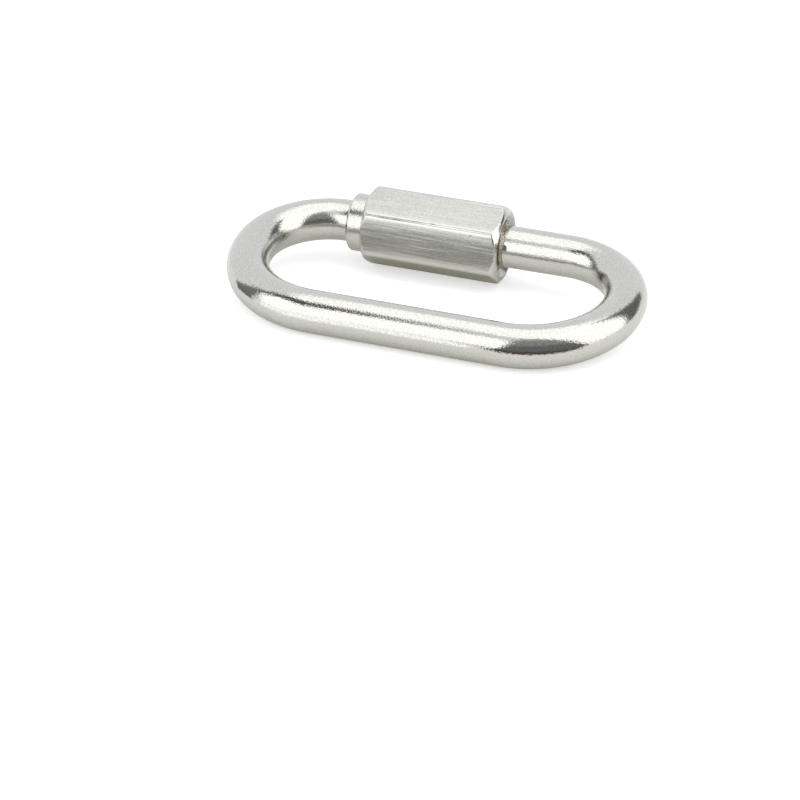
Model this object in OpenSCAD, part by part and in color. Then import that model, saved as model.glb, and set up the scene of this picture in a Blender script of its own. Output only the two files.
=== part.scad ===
// Chain quick link: an oval of round stainless wire, closed on one side by a long hexagonal sleeve nut.
// The link lies as it comes to rest, on its front bar and on the lowest edge of the nut.

/* [Wire] */
// Diameter of the round wire
wire_d = 7.5; // [5:0.1:9]
// Clear width inside the oval, from bar to bar
eye_w = 23; // [18:0.5:32]
// Radius of the two bends beside the nut, at the middle of the wire
rear_bend_r = 13.25; // [9:0.25:16]
// Straight length between the two bends at each end of the oval
end_flat = 0.5; // [0.2:0.1:6]

/* [Threaded ends] */
// Height of the thread's crest above the plain wire
thread_rise = 0.75; // [0.6:0.05:1.2]
// Distance from one turn of the thread to the next
thread_pitch = 1.25; // [0.8:0.05:1.5]
// Gap on each side between the thread of the wire and the thread of the nut
thread_play = 0.08; // [0.02:0.01:0.12]
// Length of the threaded stub beside the collar
collar_stub_l = 2.75; // [2:0.05:8]
// Width of the mouth between the two wire ends
mouth_w = 8.4; // [6:0.1:14]
// Length of thread that shows past the nut when the link is closed
bare_thread_l = 0.45; // [0.4:0.05:3]
// Chamfer on the tips of the threaded stubs
tip_chamfer = 0.6; // [0.2:0.05:1]

/* [Collar] */
// Length of plain wire between the bend and the collar
collar_gap = 0.55; // [0.1:0.05:3]
// Length of the collar along the wire
collar_l = 3.1; // [1.5:0.1:6]
// Height of the collar above the thread's crest
collar_rise = 0.7; // [0.4:0.05:2]
// Bevel on the collar's edge beside the bend
collar_bevel = 0.45; // [0.1:0.05:0.6]
// Bevel on the collar's edge beside the nut
seat_bevel = 0.15; // [0.05:0.05:0.5]

/* [Sleeve nut] */
// Length of the nut
nut_l = 25.4; // [16:0.1:40]
// Wall from the thread's crest to a flat
nut_wall = 2; // [1.2:0.05:4]
// How far the six long edges are rounded back from a sharp corner
corner_break = 0.15; // [0.1:0.05:0.5]
// Width of the chamfer between a flat and the end face
end_chamfer = 0.3; // [0.2:0.05:0.8]
// Slope of the end chamfer, in degrees from the end face
chamfer_slope = 45; // [20:1:50]
// Width of the lead-in cone round the mouth of the bore, past the thread's crest
lead_in = 1; // [0.1:0.05:1.2]
// Gap between the closed nut and the collar
seat_play = 0.05; // [0.02:0.01:0.2]
// Gap between the open nut and the edge of the mouth
open_play = 0.1; // [0.05:0.05:0.5]
// Gap between the open nut and the bend behind it
bend_play = 0.4; // [0.1:0.05:2]
// How far the top flat leans towards the front bar, in degrees
nut_turn = 23; // [0:1:60]

/* [Hidden] */
$fn = 96;

// A metric thread's pitch line lies this share of the pitch below its crest, on each side
PITCH_LINE_SHARE = 0.3248;

// Thread, drawn plain at its pitch line, where teeth and grooves are equally wide
thread_d = wire_d + 2 * thread_rise;
pitch_line_d = thread_d - 2 * PITCH_LINE_SHARE * thread_pitch;
stub_d = pitch_line_d - thread_play;
bore_d = pitch_line_d + thread_play;

// Places along the nut's axis, measured from the left end of the rear straight
nut_travel = collar_stub_l + mouth_w + open_play;
rear_straight = collar_gap + collar_l + seat_play + nut_l + nut_travel + bend_play;
seat_x = collar_gap + collar_l;
nut_x = seat_x + seat_play;
mouth_x = seat_x + collar_stub_l;
long_stub_x = mouth_x + mouth_w;
thread_end_x = nut_x + nut_l + bare_thread_l;

// Oval, at the middle of the wire
oval_w = eye_w + wire_d;
oval_l = rear_straight + 2 * rear_bend_r;
front_bend_r = oval_w - rear_bend_r - end_flat;
front_straight = oval_l - 2 * front_bend_r;
rear_y = oval_w / 2;
front_y = -oval_w / 2;
start_x = -rear_straight / 2;

// Collar
collar_d = thread_d + 2 * collar_rise;

// Hexagon of the nut
nut_af = thread_d + 2 * nut_wall;
nut_corner_r = nut_af / 2 / cos(30) - corner_break;
nut_end_r = nut_af / 2 - end_chamfer;
chamfer_l = (nut_corner_r - nut_end_r) * tan(chamfer_slope);
lead_r = thread_d / 2 + lead_in;
lead_l = lead_r - bore_d / 2;

// How far the nut reaches from its axis in a direction, in degrees from +Y towards +Z
edge_half_angle = 30 - acos(nut_af / 2 / nut_corner_r);
function past_edge(direction) = ((direction - nut_turn) % 60 + 60) % 60;
function angle_to_edge(direction) = min(past_edge(direction), 60 - past_edge(direction));
function nut_reach(direction) = nut_corner_r * cos(max(0, angle_to_edge(direction) - edge_half_angle));

// Rest on the floor: the front bar and the nut's lowest edge both touch it
nut_axis_z = nut_reach(-90);
rest_tilt = asin((nut_axis_z - wire_d / 2) / oval_w);
nut_axis_y = rear_y * cos(rest_tilt);
oval_z = (nut_axis_z + wire_d / 2) / 2;
middle_y = (nut_reach(0) - wire_d / 2) / 2;

// A straight length of wire along +X
module wire_bar(length) {
    rotate([0, 90, 0])
        cylinder(d = wire_d, h = length);
}

// A quarter bend of wire about the origin, from the given direction onwards
module wire_bend(radius, from) {
    rotate([0, 0, from])
        rotate_extrude(angle = 90)
            translate([radius, 0])
                circle(d = wire_d);
}

// The right end of the oval: front bend, short straight and rear bend
module oval_end() {
    translate([front_straight / 2, front_y + front_bend_r, 0])
        wire_bend(front_bend_r, -90);
    translate([oval_l / 2, front_y + front_bend_r, 0])
        rotate([0, 0, 90])
            wire_bar(end_flat);
    translate([rear_straight / 2, rear_y - rear_bend_r, 0])
        wire_bend(rear_bend_r, 0);
}

// A profile of [radius, distance] points, turned about +X
module turned(profile) {
    rotate([90, 0, 90])
        rotate_extrude()
            polygon(profile);
}

// The wire end with the upset collar and its short threaded stub
module collar_end() {
    turned([
        [0, 0],
        [wire_d / 2, 0],
        [wire_d / 2, collar_gap],
        [collar_d / 2 - collar_bevel, collar_gap],
        [collar_d / 2, collar_gap + collar_bevel],
        [collar_d / 2, seat_x - seat_bevel],
        [collar_d / 2 - seat_bevel, seat_x],
        [stub_d / 2, seat_x],
        [stub_d / 2, mouth_x - tip_chamfer],
        [stub_d / 2 - tip_chamfer, mouth_x],
        [0, mouth_x]
    ]);
}

// The wire end with the long threaded stub, which runs out into the plain wire
module long_end() {
    runout_l = stub_d / 2 - wire_d / 2;
    turned([
        [0, long_stub_x],
        [stub_d / 2 - tip_chamfer, long_stub_x],
        [stub_d / 2, long_stub_x + tip_chamfer],
        [stub_d / 2, thread_end_x - runout_l],
        [wire_d / 2, thread_end_x],
        [wire_d / 2, rear_straight],
        [0, rear_straight]
    ]);
}

module link_body() {
    color("#C9CAC8")
        translate([0, -middle_y, oval_z])
            rotate([rest_tilt, 0, 0]) {
                translate([-front_straight / 2, front_y, 0])
                    wire_bar(front_straight);
                oval_end();
                mirror([1, 0, 0])
                    oval_end();
                translate([start_x, rear_y, 0]) {
                    collar_end();
                    long_end();
                }
            }
}

// The round bar that the hexagon is cut back to: end chamfers and rounded long edges
module nut_envelope() {
    turned([
        [0, 0],
        [nut_end_r, 0],
        [nut_corner_r, chamfer_l],
        [nut_corner_r, nut_l - chamfer_l],
        [nut_end_r, nut_l],
        [0, nut_l]
    ]);
}

// Bore with a lead-in cone at each end, cut a little past the end faces
module nut_bore() {
    past = 1;
    turned([
        [0, -past],
        [lead_r + past, -past],
        [bore_d / 2, lead_l],
        [bore_d / 2, nut_l - lead_l],
        [lead_r + past, nut_l + past],
        [0, nut_l + past]
    ]);
}

// The hexagonal bar, with a flat on top before it is turned
module nut_bar() {
    rotate([nut_turn, 0, 0])
        rotate([0, 90, 0])
            rotate([0, 0, 30])
                cylinder(d = nut_af / cos(30), h = nut_l, $fn = 6);
}

module sleeve_nut() {
    color("#B4B3AD")
        translate([start_x + nut_x, nut_axis_y - middle_y, nut_axis_z])
            difference() {
                intersection() {
                    nut_bar();
                    nut_envelope();
                }
                nut_bore();
            }
}

link_body();
sleeve_nut();
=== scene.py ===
# %% [markdown]
# # A chain quick link
# The link is one bent steel wire and one long hexagonal nut, so this lesson makes just two pieces. The
# CAD model is loaded first as a fixed frame: it says where the wire and the nut are and how large they
# are. It draws the screw threads plain and its meshes are coarse, which polished metal would show at once
# in its reflections. So both pieces are made again here, finer, in the same place and of the same form,
# with real threads.

# %% Load the frame
import math

import bpy
import numpy as np
from mathutils import Matrix, Vector, noise


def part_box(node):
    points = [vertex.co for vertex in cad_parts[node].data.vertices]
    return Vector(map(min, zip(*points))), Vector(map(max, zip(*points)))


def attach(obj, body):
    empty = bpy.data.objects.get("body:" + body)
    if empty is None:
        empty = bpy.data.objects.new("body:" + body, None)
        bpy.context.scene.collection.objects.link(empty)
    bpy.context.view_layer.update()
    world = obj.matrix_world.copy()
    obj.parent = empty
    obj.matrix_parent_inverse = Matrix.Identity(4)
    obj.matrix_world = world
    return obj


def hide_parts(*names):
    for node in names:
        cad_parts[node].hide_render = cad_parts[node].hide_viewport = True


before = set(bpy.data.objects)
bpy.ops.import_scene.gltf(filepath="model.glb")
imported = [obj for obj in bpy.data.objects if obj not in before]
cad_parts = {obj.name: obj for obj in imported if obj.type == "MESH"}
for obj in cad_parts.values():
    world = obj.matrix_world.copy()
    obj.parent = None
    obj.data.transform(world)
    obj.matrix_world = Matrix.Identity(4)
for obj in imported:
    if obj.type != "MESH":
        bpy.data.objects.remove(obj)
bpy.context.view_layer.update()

MM = 0.001

# %% [markdown]
# ## Sizes and places
# Blender works in metres, a maker of small steel parts in millimetres. The sizes of the link are given in
# millimetres below, and MM turns them into metres at the last step, when points go into a mesh. The boxes
# of the CAD pieces give the places. A hexagon is the same on both sides of its middle, so the middle of
# the nut's box is the nut's axis, however the nut is turned.

# %% Read the places from the frame
WIRE_R = 3.75
link_low, link_high = (np.array(corner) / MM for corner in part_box("link_body"))
nut_low, nut_high = (np.array(corner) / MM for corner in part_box("sleeve_nut"))
nut_axis = (nut_low + nut_high) / 2
front_bar = np.array([0.0, link_low[1] + WIRE_R, link_low[2] + WIRE_R])
across = nut_axis[1:] - front_bar[1:]
OVAL_W = float(np.hypot(*across))
REST_TILT = math.atan2(across[1], across[0])
OVAL_L = float(link_high[0] - link_low[0]) - 2 * WIRE_R
print("oval at the middle of the wire:", round(OVAL_L, 2), "by", round(OVAL_W, 2), "mm")
print("the link lies tilted by", round(math.degrees(REST_TILT), 2), "degrees, propped up by its nut")

# %% [markdown]
# ## The path of the wire
# The real link starts as a straight bar, which is bent round four corners until its two ends face each
# other. A curve object with a round bevel could draw the wire, but it can't cut a thread or turn a
# collar. So the path is written as a list of straight runs and bends, and a small function walks along
# it. At any distance it gives the point and the direction that is outward there, in the oval's plane.

# %% Straight runs and bends
REAR_BEND_R = 13.25
END_FLAT = 0.5
FRONT_BEND_R = OVAL_W - REAR_BEND_R - END_FLAT
FRONT_RUN = OVAL_L - 2 * FRONT_BEND_R
REAR_HALF = OVAL_L / 2 - REAR_BEND_R
# Where the two tips of the wire lie along X, hidden in the nut
STUB_TIP_X = -13.975
LONG_TIP_X = -5.575
COLLAR_RUN = STUB_TIP_X + REAR_HALF
REAR_RUN = REAR_HALF - LONG_TIP_X
QUARTER = math.pi / 2
# Each step is a length and the radius of its bend, where 0 is a straight run
rear_bend = (QUARTER * REAR_BEND_R, REAR_BEND_R)
front_bend = (QUARTER * FRONT_BEND_R, FRONT_BEND_R)
path_steps = [(COLLAR_RUN, 0), rear_bend, (END_FLAT, 0), front_bend, (FRONT_RUN, 0),
              front_bend, (END_FLAT, 0), rear_bend, (REAR_RUN, 0)]
PATH_L = sum(length for length, bend_r in path_steps)
print("length of the bar before bending:", round(PATH_L, 1), "mm")

# %% Walk along the path
along_x = np.array([1.0, 0.0, 0.0])
up_in_plane = np.array([0.0, math.cos(REST_TILT), math.sin(REST_TILT)])
middle = np.array([0.0, *(nut_axis[1:] + front_bar[1:]) / 2])
NOTHING_LEFT = 1e-9


def walk(distance):
    """The middle of the wire at a distance from the collar's tip, and the outward direction there."""
    u = STUB_TIP_X
    v = OVAL_W / 2
    heading = math.pi
    for length, bend_r in path_steps:
        step = min(distance, length)
        if bend_r:
            turn = step / bend_r
            u += bend_r * (math.sin(heading + turn) - math.sin(heading))
            v += bend_r * (math.cos(heading) - math.cos(heading + turn))
            heading += turn
        else:
            u += step * math.cos(heading)
            v += step * math.sin(heading)
        distance -= step
        if distance <= NOTHING_LEFT:
            break
    point = middle + u * along_x + v * up_in_plane
    outward = math.sin(heading) * along_x - math.cos(heading) * up_in_plane
    return point, outward


print("the two tips face each other at x =", [round(float(walk(d)[0][0]), 3) for d in (0, PATH_L)])

# %% [markdown]
# ## The thread
# The thread of the real link is a ridge that climbs 1.25 mm with each turn, to the right like any common
# screw. A ridge could be a separate spiral laid round the wire, but then its foot would cut through the
# surface. It is neater to change the radius of the wire itself: at each place along the axis and each
# angle round it, one function says how high the ridge is. Wire and nut use the same function, so their
# threads mesh.

# %% One function for both threads
PITCH = 1.25
CREST_R = 4.46
ROOT_R = 3.73
# Shares of the pitch that are flat, as on a metric screw
CREST_FLAT = 1 / 8
GROOVE_FLAT = 1 / 4


def ridge(x, angle):
    """1 on the crest and 0 in the groove of a right-hand thread about +X, with flat crests and grooves."""
    part_turn = (x / PITCH - angle / (2 * math.pi)) % 1.0
    from_crest = 2 * np.abs(part_turn - 0.5)
    return np.clip((1 - GROOVE_FLAT - from_crest) / (1 - GROOVE_FLAT - CREST_FLAT), 0.0, 1.0)


print("thread depth:", round(CREST_R - ROOT_R, 2), "mm, pitch:", PITCH, "mm")

# %% [markdown]
# ## Turned shapes with soft corners
# The collar and the tips of the wire were forged and turned. A turned shape is a profile of radius along
# the axis. No real edge is perfectly sharp, and it is the small round on an edge that catches the light,
# so each corner of the collar is replaced by a short arc of a few points. A bevel modifier does the same
# to a finished mesh, but here the points are known beforehand, and rounding them keeps the mesh in clean
# rings.

# %% Round the corners of a profile
ARC_POINTS = 5
# A round takes up no more than this share of each side beside its corner
SIDE_SHARE = 0.45


def soften(corners, radius):
    """A profile of (along, radius) points with each inner corner rounded."""
    points = [np.array(corners[0], float)]
    for three in zip(corners, corners[1:], corners[2:]):
        before, here, after = (np.array(corner, float) for corner in three)
        back = before - here
        on = after - here
        back_l = np.linalg.norm(back)
        on_l = np.linalg.norm(on)
        reach = min(radius, SIDE_SHARE * back_l, SIDE_SHARE * on_l)
        start = here + back / back_l * reach
        end = here + on / on_l * reach
        for t in np.linspace(0, 1, ARC_POINTS):
            points.append((1 - t) ** 2 * start + 2 * t * (1 - t) * here + t ** 2 * end)
    points.append(np.array(corners[-1], float))
    return points


print("points on a soft corner:", ARC_POINTS)

# %% Sizes of the two wire ends
COLLAR_R = 5.2
COLLAR_L = 3.1
COLLAR_GAP = 0.55
COLLAR_BEVEL = 0.45
SEAT_BEVEL = 0.15
COLLAR_ROUND = 0.12
STUB_L = COLLAR_RUN - COLLAR_GAP - COLLAR_L
COLLAR_END = STUB_L + COLLAR_L
# Beside the collar the thread of the stub stops, and a plain groove is left
THREAD_STOP = 0.3
GROOVE_L = 0.25
# The tips are chamfered, from this radius up to the crest of the thread
TIP_R = 3.45
# Where the long thread runs out into the plain wire
THREAD_END_X = 9.175
THREAD_END = PATH_L - (THREAD_END_X - LONG_TIP_X)
print("stub beside the collar:", round(STUB_L, 2), "mm, long thread:", round(PATH_L - THREAD_END, 2), "mm")

# %% Rings from tip to tip
TIP_FACE_RADII = (0.9, 1.8, 2.7, 3.3)
THREAD_STEP = PITCH / 20
BEND_STEP = 0.34
STRAIGHT_STEP = 0.8
PAST_COLLAR = 0.2


def spread(start, end, step):
    """Even places from start to end, no further apart than step."""
    return np.linspace(start, end, max(2, math.ceil(abs(end - start) / step) + 1))


# Each ring is a distance along the bar, the most that its radius may be, and whether the thread shapes it
rings = [(0.0, r, False) for r in TIP_FACE_RADII]
rings += [(d, TIP_R + d, True) for d in spread(0.0, STUB_L - THREAD_STOP, THREAD_STEP)]
collar_corners = [(STUB_L - GROOVE_L, ROOT_R), (STUB_L, ROOT_R),
                  (STUB_L, COLLAR_R - SEAT_BEVEL), (STUB_L + SEAT_BEVEL, COLLAR_R),
                  (COLLAR_END - COLLAR_BEVEL, COLLAR_R), (COLLAR_END, COLLAR_R - COLLAR_BEVEL),
                  (COLLAR_END, WIRE_R), (COLLAR_RUN, WIRE_R)]
rings += [(float(d), float(r), False) for d, r in soften(collar_corners, COLLAR_ROUND)]
walked = 0.0
for length, bend_r in path_steps:
    start = max(walked, COLLAR_RUN + PAST_COLLAR)
    end = min(walked + length, THREAD_END)
    if end > start:
        step = BEND_STEP if bend_r else STRAIGHT_STEP
        rings += [(d, WIRE_R, False) for d in spread(start, end, step)[:-1]]
    walked += length
rings += [(d, min(WIRE_R + (d - THREAD_END), TIP_R + (PATH_L - d)), True)
          for d in spread(THREAD_END, PATH_L, THREAD_STEP)]
rings += [(PATH_L, r, False) for r in TIP_FACE_RADII[::-1]]
print("rings along the wire:", len(rings))

# %% [markdown]
# ## The wire as one mesh
# Each ring of the profile becomes a circle of points, and neighbouring circles are joined by quads. Where
# a ring is marked as threaded, the ridge shapes it. Each point also stores, for the material, how far
# along the bar it lies and where on its round it sits. With that a pattern can run along the wire round
# the bends, as the marks of the drawing die do.

# %% Circles of points
WIRE_AROUND = 96
angles = np.linspace(0, 2 * math.pi, WIRE_AROUND, endpoint=False)
on_round = np.c_[WIRE_R * np.cos(angles), WIRE_R * np.sin(angles)]
square_to_plane = np.array([0.0, -math.sin(REST_TILT), math.cos(REST_TILT)])
wire_points = []
bar_places = []
threaded = []
for distance, radius, is_thread in rings:
    centre, outward = walk(distance)
    ways = np.cos(angles)[:, None] * outward + np.sin(angles)[:, None] * square_to_plane
    radii = np.full(WIRE_AROUND, radius)
    if is_thread:
        high = ridge(centre[0], np.arctan2(ways[:, 2], ways[:, 1]))
        radii = np.minimum(radius, ROOT_R + (CREST_R - ROOT_R) * high)
    wire_points.append(centre + radii[:, None] * ways)
    bar_places.append(np.c_[np.full(WIRE_AROUND, distance), on_round])
    threaded.append(is_thread)
print("points on the wire:", len(rings) * WIRE_AROUND)


# %% Join the circles into a mesh
def ringed_mesh(name, points, closed, thread_rows):
    """An object from rows of points, and which of its faces lie in a thread.

    Each row is closed round. The two ends get a pole, or in a closed mesh the last row joins the first.
    """
    rows, around, _ = points.shape
    at = np.arange(rows * around).reshape(rows, around)
    below = at if closed else at[:-1]
    above = np.roll(at, -1, axis=0) if closed else at[1:]
    corners = [below, np.roll(below, -1, axis=1), np.roll(above, -1, axis=1), above]
    quads = np.stack(corners, axis=-1).reshape(-1, 4)
    verts = points.reshape(-1, 3)
    faces = quads.tolist()
    if not closed:
        pole = len(verts)
        verts = np.vstack([verts, points[0].mean(axis=0), points[-1].mean(axis=0)])
        faces += [[int(at[0, (i + 1) % around]), int(at[0, i]), pole] for i in range(around)]
        faces += [[int(at[-1, i]), int(at[-1, (i + 1) % around]), pole + 1] for i in range(around)]
    mesh = bpy.data.meshes.new(name)
    mesh.from_pydata((verts * MM).tolist(), [], faces)
    mesh.shade_smooth()
    in_thread = np.zeros(len(faces), int)
    in_thread[:len(quads)] = np.repeat(thread_rows[:len(below)], around)
    piece = bpy.data.objects.new(name, mesh)
    bpy.context.scene.collection.objects.link(piece)
    return piece, in_thread


link_wire, wire_in_thread = ringed_mesh("link_wire", np.array(wire_points), False, np.array(threaded, int))
print("wire:", len(link_wire.data.polygons), "faces")

# %% Store the places along the bar
pole_places = [[0, 0, 0], [PATH_L, 0, 0]]
places = np.vstack(bar_places + [pole_places])
along_bar = link_wire.data.attributes.new("along_bar", "FLOAT_VECTOR", "POINT")
along_bar.data.foreach_set("vector", places.astype(np.float32).ravel())
link_wire.data.update()
print("places stored along the bar:", len(places))

# %% [markdown]
# ## The sleeve nut
# The nut is cut from hexagonal bar, drilled and tapped from end to end, and its two ends are chamfered on
# the lathe. A hexagonal prism with a boolean hole would do for a distant view, but the boolean leaves
# long thin faces that smooth shading smears. So the nut is made of rings too. On the outside, the radius
# at each angle is the smallest of three: the flat, its neighbour, and the chamfer. The flats fall away by
# a tenth of a millimetre or two beside the edges, as those of drawn bar do, and that lets the light fade
# across them. The chamfer is a cone with a slight belly, because the lathe tool leaves no sharp corner
# where it meets the flats. Going round the section in one closed loop, over the outside, down one end
# face, back through the bore and up the other, gives one sealed mesh.

# %% Angles round the hexagon
FLATS = 6
SECTOR = 60
TOP = 90
NUT_TURN = math.radians(23)
# Degrees from the middle of a flat to an edge: a few points on the flat, more on the round of the edge
FLAT_END, FLAT_POINTS = 24, 8
EDGE_START, EDGE_POINTS = 25.2, 10
half = np.r_[np.linspace(0, FLAT_END, FLAT_POINTS), np.linspace(EDGE_START, SECTOR / 2, EDGE_POINTS)]
one_flat = np.radians(np.r_[-half[:0:-1], half][:-1])
nut_angles = np.concatenate([one_flat + math.radians(SECTOR * k + TOP) + NUT_TURN for k in range(FLATS)])
NUT_AROUND = len(nut_angles)
print("points round the nut:", NUT_AROUND)

# %% The outline of the bar
# From the axis to the middle of a flat
FLAT_R = 6.5
# The flats have fallen by CROWN at CROWN_AT from their middle, and fall faster further out
CROWN = 0.09
CROWN_AT = 3.2
CROWN_POWER = 4
EDGE_BLEND = 0.5
# Degrees from the middle of a flat at which the wear of an edge starts, and over which it grows
WEAR_START = 26
WEAR_GROWS = 2


def soft_least(a, b, blend):
    """The smaller of two radii, with the corner between them rounded over."""
    h = np.clip(0.5 + 0.5 * (b - a) / blend, 0, 1)
    return b + (a - b) * h - blend * h * (1 - h)


from_flat = np.abs(np.concatenate([one_flat] * FLATS))
next_flat = math.radians(SECTOR) - from_flat
crown = CROWN * (FLAT_R * np.tan(from_flat) / CROWN_AT) ** CROWN_POWER
bar_r = soft_least(FLAT_R / np.cos(from_flat), FLAT_R / np.cos(next_flat), EDGE_BLEND) - crown
on_edge = np.clip((np.degrees(from_flat) - WEAR_START) / WEAR_GROWS, 0, 1)
print("nut:", 2 * FLAT_R, "mm across flats,", round(2 * float(bar_r.max()), 2), "mm across edges")

# %% [markdown]
# ### Wear on the long edges
# Spanners and chains knock the six long edges. Each edge gets a slow unevenness of a hundredth of a
# millimetre or two and a few small nicks. A bump map could fake that, but a nick on an edge shows in the
# outline and in the line of light along it, so it is moved into the mesh. The noise has a fixed place for
# each edge, and the nicks come from a fixed seed, so each run gives the same nut.

# %% How much each edge has lost
NUT_L = float(nut_high[0] - nut_low[0])
FIRST_EDGE = TOP + SECTOR / 2
past_first_edge = nut_angles - NUT_TURN - math.radians(FIRST_EDGE)
edge_number = np.round(past_first_edge / math.radians(SECTOR)).astype(int) % FLATS
NICK_COUNT = 18
NICK_FROM_END = 2
NICK_DEPTHS = (0.03, 0.08)
NICK_WIDTHS = (0.15, 0.35)
nick_rng = np.random.default_rng(7)
nicks = [(int(nick_rng.integers(FLATS)), nick_rng.uniform(NICK_FROM_END, NUT_L - NICK_FROM_END),
          nick_rng.uniform(*NICK_DEPTHS), nick_rng.uniform(*NICK_WIDTHS)) for _ in range(NICK_COUNT)]
SLOW_DEPTH = 0.02
SLOW_PER_MM = 0.55
EDGE_STRIDE = 3.7
# Blender's noise is 0 at whole numbers, so one coordinate stays between them
BETWEEN_WHOLE = 0.4


def edge_loss(x):
    """The depth of wear at each point of a ring, x mm from the nut's left end."""
    loss = np.zeros(FLATS)
    for k in range(FLATS):
        slow = noise.noise(Vector((x * SLOW_PER_MM, EDGE_STRIDE * k, BETWEEN_WHOLE)))
        loss[k] = SLOW_DEPTH * (0.5 + 0.5 * slow)
    for edge, place, depth, width in nicks:
        loss[edge] += depth * math.exp(-((x - place) / width) ** 2)
    return loss[edge_number]


print("nicks on the edges:", len(nicks))

# %% Rings over the outside
END_R = 6.0
CHAMFER_RISE = 1.75
CHAMFER_BELLY = 0.58
CHAMFER_REACH = 1.2
CHAMFER_BLEND = 0.08
# The turned chamfer shines fully and fades over this height, and the long edges shine half as much
SHINE_FADE = 0.25
EDGE_SHINE = 0.5
# Rings lie close together up to FINE_END from each end, and further apart between
FIRST_X = 0.03
FINE_END, FINE_STEP = 1.5, 0.05
WIDE_START, WIDE_STEP = 1.6, 0.2
spokes = np.c_[np.zeros(NUT_AROUND), np.cos(nut_angles), np.sin(nut_angles)]
nut_points = []
shine = []
bore_rows = []


def add_ring(x, radii, ring_shine, is_bore):
    """A ring of the nut, x mm from its left end: how much it shines and whether it is in the thread."""
    centre = np.array([nut_low[0] + x, nut_axis[1], nut_axis[2]])
    nut_points.append(centre + np.broadcast_to(radii, NUT_AROUND)[:, None] * spokes)
    shine.append(np.broadcast_to(ring_shine, NUT_AROUND))
    bore_rows.append(is_bore)


left_end = spread(FIRST_X, FINE_END, FINE_STEP)
between = spread(WIDE_START, NUT_L - WIDE_START, WIDE_STEP)
right_end = spread(NUT_L - FINE_END, NUT_L - FIRST_X, FINE_STEP)
for x in np.r_[left_end, between, right_end]:
    in_from_end = min(x, NUT_L - x, CHAMFER_REACH)
    cone = END_R + in_from_end * (CHAMFER_RISE - in_from_end * CHAMFER_BELLY)
    bar = bar_r - on_edge * edge_loss(x)
    on_cone = np.clip(1 - (cone - bar) / SHINE_FADE, 0, 1)
    add_ring(x, soft_least(bar, cone, CHAMFER_BLEND), np.maximum(EDGE_SHINE * on_edge, on_cone), False)
print("rings over the outside:", len(nut_points))

# %% Rings on the end faces and through the bore
LEAD_R = 5.5
NUT_CREST_R = 3.9
THREAD_GAP = 0.07
NUT_ROOT_R = CREST_R + THREAD_GAP
BORE_STEP = PITCH / 12
BORE_FIRST_X = 0.02
# From the chamfer in to the lead-in cone, closer together beside both
face_radii = [5.97, 5.93, 5.87, 5.8, 5.72, 5.64, 5.57, 5.53]
for r in face_radii:
    add_ring(NUT_L, r, 0.0, False)
for x in spread(NUT_L - BORE_FIRST_X, BORE_FIRST_X, BORE_STEP):
    high = ridge(nut_low[0] + x, nut_angles)
    tapped = np.maximum(NUT_CREST_R, ROOT_R + (CREST_R - ROOT_R) * high + THREAD_GAP)
    lead_cone = LEAD_R - min(x, NUT_L - x)
    add_ring(x, np.maximum(tapped, lead_cone), 0.0, lead_cone < NUT_ROOT_R)
for r in face_radii[::-1]:
    add_ring(0.0, r, 0.0, False)
print("rings of the nut:", len(nut_points))

# %% Make the nut
hex_sleeve, nut_in_bore = ringed_mesh("hex_sleeve", np.array(nut_points), True, np.array(bore_rows, int))
edge_worn = hex_sleeve.data.attributes.new("edge_worn", "FLOAT", "POINT")
edge_worn.data.foreach_set("value", np.concatenate(shine).astype(np.float32))
hex_sleeve.data.update()
print("nut:", len(hex_sleeve.data.polygons), "faces")

# %% [markdown]
# ## Shading that keeps flats flat
# With smooth shading, a point on the edge of a flat takes the average direction of its faces, and the
# flat would look pillowed. The Weighted Normal modifier lets the larger face win, so that the flats stay
# flat and only the small rounds turn.

# %% Weigh the normals and hand the pieces over
LARGE_FACE_WEIGHT = 80
for piece, body, node, slot in ((link_wire, "link", "link_body", "polished_wire"),
                                (hex_sleeve, "nut", "sleeve_nut", "satin_nut")):
    weigh = piece.modifiers.new("flats stay flat", "WEIGHTED_NORMAL")
    weigh.weight = LARGE_FACE_WEIGHT
    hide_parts(node)
    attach(piece, body)
    print(piece.name, "rides on", body)


# %% [markdown]
# ## Colours and nodes
# Colours are easiest to judge as the hex values of a paint program, which are sRGB. Blender's shaders add
# light up, so they need linear values, and one function converts them. A second small function adds a
# node, sets its values and links its inputs, so that each material below reads as a list of its layers. A
# third starts an empty material.

# %% Helpers for materials
def linear(hex_colour):
    """An sRGB hex colour as linear red, green, blue and alpha."""
    parts = [int(hex_colour[i:i + 2], 16) / 255 for i in (1, 3, 5)]
    return [p / 12.92 if p <= 0.04045 else ((p + 0.055) / 1.055) ** 2.4 for p in parts] + [1.0]


def add(tree, kind, settings=None, **inputs):
    """A node of a kind, with its settings, and its inputs as values or as sockets to link from.

    An input is given by its name, or as i0, i1 and so on by its number.
    """
    node = tree.nodes.new(kind)
    for name, value in (settings or {}).items():
        setattr(node, name, value)
    for name, value in inputs.items():
        by_number = name[0] == "i" and name[1:].isdigit()
        socket = node.inputs[int(name[1:]) if by_number else name.replace("_", " ")]
        if isinstance(value, bpy.types.NodeSocket):
            tree.links.new(value, socket)
        else:
            socket.default_value = value
    return node


def new_material(name):
    """An empty material and its node tree."""
    material = bpy.data.materials.new(name)
    material.use_nodes = True
    material.node_tree.nodes.clear()
    return material, material.node_tree


print("middle grey, #808080, is", round(linear("#808080")[0], 3), "in linear light")

# %% [markdown]
# ## Polished stainless wire
# The wire is common stainless steel, drawn through a die, bent, and tumbled until it shines. Drawing
# leaves fine lines along the bar, and tumbling breaks them up into a soft grain. To the eye it is a near
# mirror: white where it sees the light tent, dark where it sees a gap, with slightly ragged edges between
# the two. Real draw lines are a few hundredths of a millimetre wide, too fine for this view, so they are
# drawn 0.2 mm wide. They follow the stored places along the bar, because object coordinates would cross
# the bends.

# %% Wire material
polished, tree = new_material("polished_stainless_wire")
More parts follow.
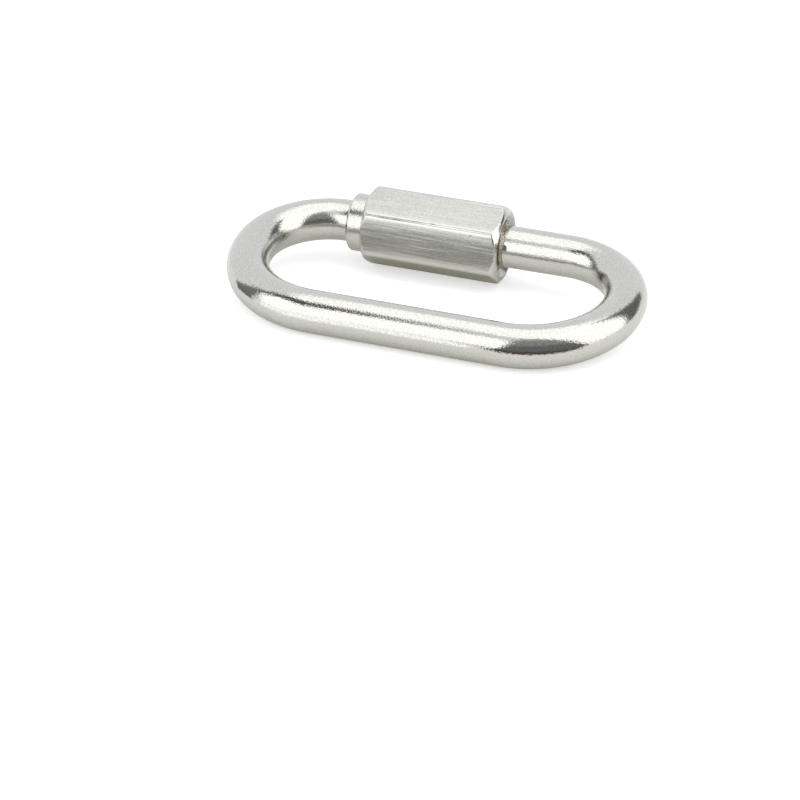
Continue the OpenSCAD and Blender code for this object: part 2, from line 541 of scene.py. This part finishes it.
# Places along the bar are in millimetres, so a pattern's scale is 1 over its size in millimetres
bar_place = add(tree, "ShaderNodeAttribute", {"attribute_name": "along_bar"}).outputs["Vector"]
LINE_L, LINE_W = 3, 0.2
line_scale = (1 / LINE_L, 1 / LINE_W, 1 / LINE_W)
line_place = add(tree, "ShaderNodeMapping", Vector=bar_place, Scale=line_scale).outputs["Vector"]
draw_lines = add(tree, "ShaderNodeTexNoise", Vector=line_place, Scale=1.0, Detail=3.0,
                 Roughness=0.6).outputs["Fac"]
# The grain of tumbling, a little longer than wide
GRAIN_L, GRAIN_W = 0.35, 0.25
grain_scale = (1 / GRAIN_L, 1 / GRAIN_W, 1 / GRAIN_W)
grain_place = add(tree, "ShaderNodeMapping", Vector=bar_place, Scale=grain_scale).outputs["Vector"]
grain = add(tree, "ShaderNodeTexNoise", Vector=grain_place, Scale=1.0, Detail=2.0,
            Roughness=0.5).outputs["Fac"]
tone = add(tree, "ShaderNodeValToRGB", Fac=grain)
darker, lighter = tone.color_ramp.elements
darker.position, darker.color = 0.3, linear("#C2C2BE")
lighter.position, lighter.color = 0.7, linear("#D6D6D1")
# Slow unevenness of the gloss, left by bending
WAVE_L = 9
wave = add(tree, "ShaderNodeTexNoise", Vector=bar_place, Scale=1 / WAVE_L, Detail=1.0).outputs["Fac"]
gloss = add(tree, "ShaderNodeMapRange", Value=wave, From_Min=0.3, From_Max=0.7, To_Min=0.05,
            To_Max=0.11).outputs[0]
# The collar was turned after tumbling and is duller than the wire behind it
COLLAR_ROUGHNESS = 0.18
bar_distance = add(tree, "ShaderNodeSeparateXYZ", Vector=bar_place).outputs["X"]
turned = add(tree, "ShaderNodeMath", {"operation": "LESS_THAN"}, i0=bar_distance,
             i1=COLLAR_END - COLLAR_BEVEL).outputs[0]
gloss = add(tree, "ShaderNodeMix", {"data_type": "FLOAT"}, i0=turned, i2=gloss,
            i3=COLLAR_ROUGHNESS).outputs[0]
# Bump distances are in metres: the lines and the grain are hundredths of a millimetre deep
lines_up = add(tree, "ShaderNodeBump", Height=draw_lines, Strength=0.4,
               Distance=0.02 * MM).outputs["Normal"]
grain_up = add(tree, "ShaderNodeBump", Height=grain, Strength=0.4, Distance=0.06 * MM,
               Normal=lines_up).outputs["Normal"]
steel = add(tree, "ShaderNodeBsdfPrincipled", Base_Color=tone.outputs["Color"], Metallic=1.0,
            Roughness=gloss, Normal=grain_up)
add(tree, "ShaderNodeOutputMaterial", Surface=steel.outputs["BSDF"])
print("material:", polished.name)

# %% [markdown]
# ## Cut thread: brown film and painted shade
# The thread is cut last and never polished. Cutting oil stays in its grooves and dries to a thin brown
# film, so the thread looks duller and warmer than the wire. Its dark colour is also painted shade, which
# stands in for the shade where the thread goes into the nut. The colour changes in patches a fifth of a
# millimetre wide, and the torn crests between them glint.

# %% Thread material
thread_film_and_shade, tree = new_material("cut_thread_film_and_painted_shade")
# Object coordinates are in metres, so a pattern's scale is 1 over its size in metres
here = add(tree, "ShaderNodeTexCoord").outputs["Object"]
FILM_W = 0.2
film = add(tree, "ShaderNodeTexNoise", Vector=here, Scale=1 / (FILM_W * MM), Detail=2.0).outputs["Fac"]
# The darker colour of the ramp is partly the brown film and partly painted shade
tone = add(tree, "ShaderNodeValToRGB", Fac=film)
darker, lighter = tone.color_ramp.elements
darker.position, darker.color = 0.36, linear("#675D4C")
lighter.position, lighter.color = 0.64, linear("#C9C2B2")
gloss = add(tree, "ShaderNodeMapRange", Value=film, From_Min=0.3, From_Max=0.7, To_Min=0.42,
            To_Max=0.28).outputs[0]
torn = add(tree, "ShaderNodeBump", Height=film, Strength=0.6, Distance=0.06 * MM).outputs["Normal"]
steel = add(tree, "ShaderNodeBsdfPrincipled", Base_Color=tone.outputs["Color"], Metallic=1.0,
            Roughness=gloss, Normal=torn)
add(tree, "ShaderNodeOutputMaterial", Surface=steel.outputs["BSDF"])
print("material:", thread_film_and_shade.name)

# %% [markdown]
# ## Satin stainless nut
# Hexagonal bar is drawn too, and its flats are then brushed along their length. Brushing spreads a
# reflection, so each flat shows one soft tone that changes from flat to flat, with fine streaks. The
# chamfers were turned after that, so they shine, and the long edges, rubbed by hands and spanners, lie
# between the two. Real brush lines are finer than a hair; here they are 0.25 mm wide so that they show.

# %% Nut material
satin, tree = new_material("satin_brushed_stainless")
here = add(tree, "ShaderNodeTexCoord").outputs["Object"]
BRUSH_L, BRUSH_W = 10, 0.25
brush_scale = (1 / (BRUSH_L * MM), 1 / (BRUSH_W * MM), 1 / (BRUSH_W * MM))
brush_place = add(tree, "ShaderNodeMapping", Vector=here, Scale=brush_scale).outputs["Vector"]
brush = add(tree, "ShaderNodeTexNoise", Vector=brush_place, Scale=1.0, Detail=3.0,
            Roughness=0.6).outputs["Fac"]
# Pits left by the bar's mill skin
PIT_W = 0.25
pits = add(tree, "ShaderNodeTexNoise", Vector=here, Scale=1 / (PIT_W * MM), Detail=2.0).outputs["Fac"]
# Slow waves that the brush leaves
RIPPLE_L, RIPPLE_W = 12, 1.2
ripple_scale = (1 / (RIPPLE_L * MM), 1 / (RIPPLE_W * MM), 1 / (RIPPLE_W * MM))
ripple_place = add(tree, "ShaderNodeMapping", Vector=here, Scale=ripple_scale).outputs["Vector"]
ripples = add(tree, "ShaderNodeTexNoise", Vector=ripple_place, Scale=1.0, Detail=1.0).outputs["Fac"]
# Patches where the brush pressed harder
PRESS_W = 4
press = add(tree, "ShaderNodeTexNoise", Vector=here, Scale=1 / (PRESS_W * MM), Detail=2.0).outputs["Fac"]
# A small dent every 3 mm or so, from spanners and chains
DENTS_PER_METRE = 330
dent = add(tree, "ShaderNodeTexVoronoi", Vector=here, Scale=DENTS_PER_METRE).outputs["Distance"]
dent = add(tree, "ShaderNodeMapRange", {"interpolation_type": "SMOOTHSTEP"}, Value=dent, From_Min=0.03,
           From_Max=0.09, To_Min=0.0, To_Max=1.0).outputs[0]
# Pits and brush marks share the tone of the flats, and what is rubbed or turned is brighter and smoother
PIT_SHARE = 0.65
rubbed = add(tree, "ShaderNodeAttribute", {"attribute_name": "edge_worn"}).outputs["Fac"]
marks = add(tree, "ShaderNodeMix", {"data_type": "FLOAT"}, i0=PIT_SHARE, i2=brush, i3=pits).outputs[0]
tone = add(tree, "ShaderNodeValToRGB", Fac=marks)
darker, lighter = tone.color_ramp.elements
darker.position, darker.color = 0.38, linear("#AEAFAB")
lighter.position, lighter.color = 0.62, linear("#C3C4C0")
tone = add(tree, "ShaderNodeMix", {"data_type": "RGBA"}, i0=rubbed, i6=tone.outputs["Color"],
           i7=linear("#D6D6D2"))
RUBBED_ROUGHNESS = 0.13
gloss = add(tree, "ShaderNodeMapRange", Value=press, From_Min=0.3, From_Max=0.7, To_Min=0.2,
            To_Max=0.26).outputs[0]
gloss = add(tree, "ShaderNodeMix", {"data_type": "FLOAT"}, i0=rubbed, i2=gloss,
            i3=RUBBED_ROUGHNESS).outputs[0]
rippled = add(tree, "ShaderNodeBump", Height=ripples, Strength=0.8, Distance=0.1 * MM).outputs["Normal"]
brushed = add(tree, "ShaderNodeBump", Height=brush, Strength=0.5, Distance=0.05 * MM,
              Normal=rippled).outputs["Normal"]
dented = add(tree, "ShaderNodeBump", Height=dent, Strength=0.8, Distance=0.03 * MM,
             Normal=brushed).outputs["Normal"]
steel = add(tree, "ShaderNodeBsdfPrincipled", Base_Color=tone.outputs[2], Metallic=1.0, Roughness=gloss,
            Normal=dented)
add(tree, "ShaderNodeOutputMaterial", Surface=steel.outputs["BSDF"])
print("material:", satin.name)

# %% Put the materials on
# Thread faces get the thread material, whose dark brown is partly painted shade
for piece, main, in_thread in ((link_wire, polished, wire_in_thread), (hex_sleeve, satin, nut_in_bore)):
    piece.data.materials.append(main)
    piece.data.materials.append(thread_film_and_shade)
    piece.data.polygons.foreach_set("material_index", in_thread.astype(np.int32))
    piece.data.update()
    print(piece.name, "has", int(in_thread.sum()), "faces in the thread")

# %% [markdown]
# ## The camera
# The picture was taken with a long lens from a little to the right of the front, looking down at about 28
# degrees to the plane on which the link lies. Where the camera aims, how far it stands and how it leans
# came from matching the outline of the link in the picture.

# %% Place the camera
CAMERA_AZIMUTH = math.radians(18.09)
CAMERA_ELEVATION = math.radians(28.22)
CAMERA_ROLL = math.radians(1.57)
AIM = Vector((5.6, -34.8, 0.0)) * MM
DISTANCE = 423.5 * MM


def toward(azimuth, elevation):
    """A direction from the link, in radians: azimuth from the front towards +X, elevation up."""
    return Vector((math.sin(azimuth) * math.cos(elevation), -math.cos(azimuth) * math.cos(elevation),
                   math.sin(elevation)))


back = toward(CAMERA_AZIMUTH, CAMERA_ELEVATION)
level_right = Vector((0, 0, 1)).cross(back).normalized()
level_up = back.cross(level_right)
right = math.cos(CAMERA_ROLL) * level_right + math.sin(CAMERA_ROLL) * level_up
axes = Matrix((right, back.cross(right), back)).transposed().to_4x4()
camera = bpy.data.objects.new("camera", bpy.data.cameras.new("camera"))
camera.data.lens = 117
camera.data.sensor_width = 36
camera.data.clip_start = 0.01
camera.matrix_world = Matrix.Translation(AIM + DISTANCE * back) @ axes
bpy.context.scene.collection.objects.link(camera)
bpy.context.scene.camera = camera
print("camera at", [round(v / MM, 1) for v in camera.matrix_world.translation], "mm")

# %% [markdown]
# ## Light for polished metal
# Polished metal has almost no look of its own: it shows what stands round it. Such parts are photographed
# between soft boxes in a white tent, and the dark gaps, above all the one that the camera looks through,
# draw the dark shapes on the wire. So the world is white, three soft boxes stand left, right and above,
# dark cards stand in the gaps, and three cards lie on the table. Directions are given from the camera's
# side, in degrees: first to the right, then up. The sizes and distances of lamps and cards are in metres.

# %% The world
world = bpy.data.worlds.new("white_tent")
bpy.context.scene.world = world
world.use_nodes = True
tree = world.node_tree
tree.nodes.clear()
white = add(tree, "ShaderNodeBackground", Color=linear("#FBFCFF"), Strength=1.0)
add(tree, "ShaderNodeOutputWorld", Surface=white.outputs[0])
print("world:", world.name)

# %% Soft boxes
LAMP_DISTANCE = 0.6


def degrees_from_camera(azimuth, elevation):
    """A direction from the link, in degrees to the right of the camera and up from the floor."""
    return toward(CAMERA_AZIMUTH + math.radians(azimuth), math.radians(elevation))


def soft_box(name, azimuth, elevation, width, height, brightness):
    """A lamp that faces the link. Its brightness adds to the tent behind it, which has brightness 1."""
    lamp = bpy.data.lights.new(name, "AREA")
    lamp.shape = "RECTANGLE"
    lamp.size = width
    lamp.size_y = height
    lamp.color = linear("#FFFAF0")[:3]
    lamp.energy = brightness * math.pi * width * height
    stand = bpy.data.objects.new(name, lamp)
    way = degrees_from_camera(azimuth, elevation)
    stand.location = way * LAMP_DISTANCE
    stand.rotation_euler = way.to_track_quat("Z", "Y").to_euler()
    stand.visible_camera = False
    bpy.context.scene.collection.objects.link(stand)
    print(name, round(lamp.energy, 2), "W")


soft_box("left_soft_box", azimuth=-52, elevation=26, width=0.69, height=0.54, brightness=0.75)
soft_box("right_soft_box", azimuth=70, elevation=36, width=0.60, height=0.84, brightness=0.75)
soft_box("top_soft_box", azimuth=150, elevation=86, width=0.56, height=0.56, brightness=0.65)

# %% Dark cards in the gaps
CARD_DISTANCE = 0.5


def card_corner(azimuth, elevation):
    """A point on the tent's wall, in degrees to the right of the camera and up from the floor."""
    return degrees_from_camera(azimuth, elevation) * CARD_DISTANCE


def add_card(name, hex_colour, pairs, brightness=1.0):
    """A card bent along pairs of corners, from one edge to the other. Only reflections see it."""
    mesh = bpy.data.meshes.new(name)
    strips = [(2 * i, 2 * i + 1, 2 * i + 3, 2 * i + 2) for i in range(len(pairs) - 1)]
    mesh.from_pydata([corner for pair in pairs for corner in pair], [], strips)
    card = bpy.data.objects.new(name, mesh)
    material, tree = new_material(name)
    even = add(tree, "ShaderNodeEmission", Color=linear(hex_colour), Strength=brightness)
    add(tree, "ShaderNodeOutputMaterial", Surface=even.outputs[0])
    mesh.materials.append(material)
    card.visible_camera = False
    card.visible_diffuse = False
    card.visible_shadow = False
    bpy.context.scene.collection.objects.link(card)
    print("card:", name)


def gap_card(name, hex_colour, edges):
    """A card in the tent's wall, bent along pairs of points on its two edges."""
    add_card(name, hex_colour, [(card_corner(*first), card_corner(*second)) for first, second in edges])


gap_card("camera_gap", "#767676",
         [((-30, 0), (54, 0)), ((-25, 8), (48, 10)), ((-20, 25), (42, 25))])
gap_card("camera_gap_top", "#9A9A9A",
         [((-20, 25), (42, 25)), ((-18, 40), (36, 42)), ((-16, 50), (31, 50))])
gap_card("camera_gap_edge", "#B4B4B4",
         [((-16, 50), (31, 50)), ((-14, 58), (27, 58)), ((-8, 64), (16, 64))])
gap_card("left_gap", "#868686",
         [((-114, 0), (-87, 0)), ((-107, 8), (-87, 10)), ((-100, 20), (-86, 25)),
          ((-96, 35), (-81, 38)), ((-94, 48), (-76, 48))])
gap_card("right_gap", "#747474",
         [((97, 0), (112, 0)), ((98, 8), (126, 8)), ((98, 20), (131, 18)),
          ((99, 35), (123, 32)), ((102, 50), (117, 48)), ((107, 64), (114, 64))])
gap_card("upper_left_gap", "#666666",
         [((-95, 48), (-95, 62)), ((-76, 47), (-75, 64)), ((-62, 47), (-59, 63))])
gap_card("upper_left_tail", "#5E5E5E",
         [((-62, 47), (-59, 63)), ((-54, 46), (-52, 60)), ((-44, 44), (-43, 52))])

# %% Cards on the table
CARD_LIFT = 0.3


def table_card(name, hex_colour, edges, brightness=1.0):
    """A card on the table. Each edge starts at a place in mm and runs out in a direction, in degrees."""
    pairs = []
    for x, y, azimuth in edges:
        near = Vector((x, y, CARD_LIFT)) * MM
        pairs.append((near, near + card_corner(azimuth, 0)))
    add_card(name, hex_colour, pairs, brightness)


# Warm grey felt, from 1.5 cm before the front bar to the foot of the camera's gap
table_card("table_card", "#5F574D", [(12, -36, -33), (50, -25, 54)])
# White card beside it, from 1 cm before the front bar, as bright as paper in the full light of a soft
# box. It widens the white band on the wire
table_card("white_table_card", "#FFFFFF",
           [(-42, -26, -80), (-20, -30, -50), (10, -30, -34)], brightness=1.5)
# Grey felt at the left, from 1 cm beside the bend to the foot of the left gap
table_card("left_table_card", "#7C7C7C", [(-46, -12, -118), (-45, -23, -92)])

# %% [markdown]
# ## The floor
# The link lies on a plain white floor, a wide disc of matt paper. A little light of its own, which only
# the camera sees, lifts it to paper white, while the soft shadow under the link stays. The metal sees a
# weaker light in it, a little yellow, as white paper looks under warm lamps.

# %% Make the floor
FLOOR_R = 3.0
RIM_POINTS = 64
rim_angles = np.linspace(0, 2 * math.pi, RIM_POINTS, endpoint=False)
rim = [(FLOOR_R * math.cos(a), FLOOR_R * math.sin(a), 0.0) for a in rim_angles]
mesh = bpy.data.meshes.new("floor")
mesh.from_pydata(rim, [], [tuple(range(RIM_POINTS))])
floor = bpy.data.objects.new("floor", mesh)
bpy.context.scene.collection.objects.link(floor)
print("floor:", 2 * FLOOR_R, "m across")

# %% Floor material
GLOW_TO_CAMERA = 0.48
GLOW_TO_METAL = 0.1
paper, tree = new_material("matt_white_paper")
ray = add(tree, "ShaderNodeLightPath").outputs
to_camera = add(tree, "ShaderNodeMath", {"operation": "MULTIPLY"}, i0=ray["Is Camera Ray"],
                i1=GLOW_TO_CAMERA)
to_metal = add(tree, "ShaderNodeMath", {"operation": "MULTIPLY"}, i0=ray["Is Glossy Ray"],
               i1=GLOW_TO_METAL)
matt = add(tree, "ShaderNodeBsdfDiffuse", Color=linear("#DEDFE1"))
white_glow = add(tree, "ShaderNodeEmission", Color=linear("#FFFFFF"), Strength=to_camera.outputs[0])
warm_glow = add(tree, "ShaderNodeEmission", Color=linear("#FFF2AE"), Strength=to_metal.outputs[0])
glow = add(tree, "ShaderNodeAddShader", i0=white_glow.outputs[0], i1=warm_glow.outputs[0])
lit = add(tree, "ShaderNodeAddShader", i0=matt.outputs[0], i1=glow.outputs[0])
add(tree, "ShaderNodeOutputMaterial", Surface=lit.outputs[0])
mesh.materials.append(paper)
print("material:", paper.name)

# %% [markdown]
# ## Finish
# The picture keeps colours as they are written with the Standard view.

# %% Finish
bpy.context.scene.view_settings.view_transform = "Standard"
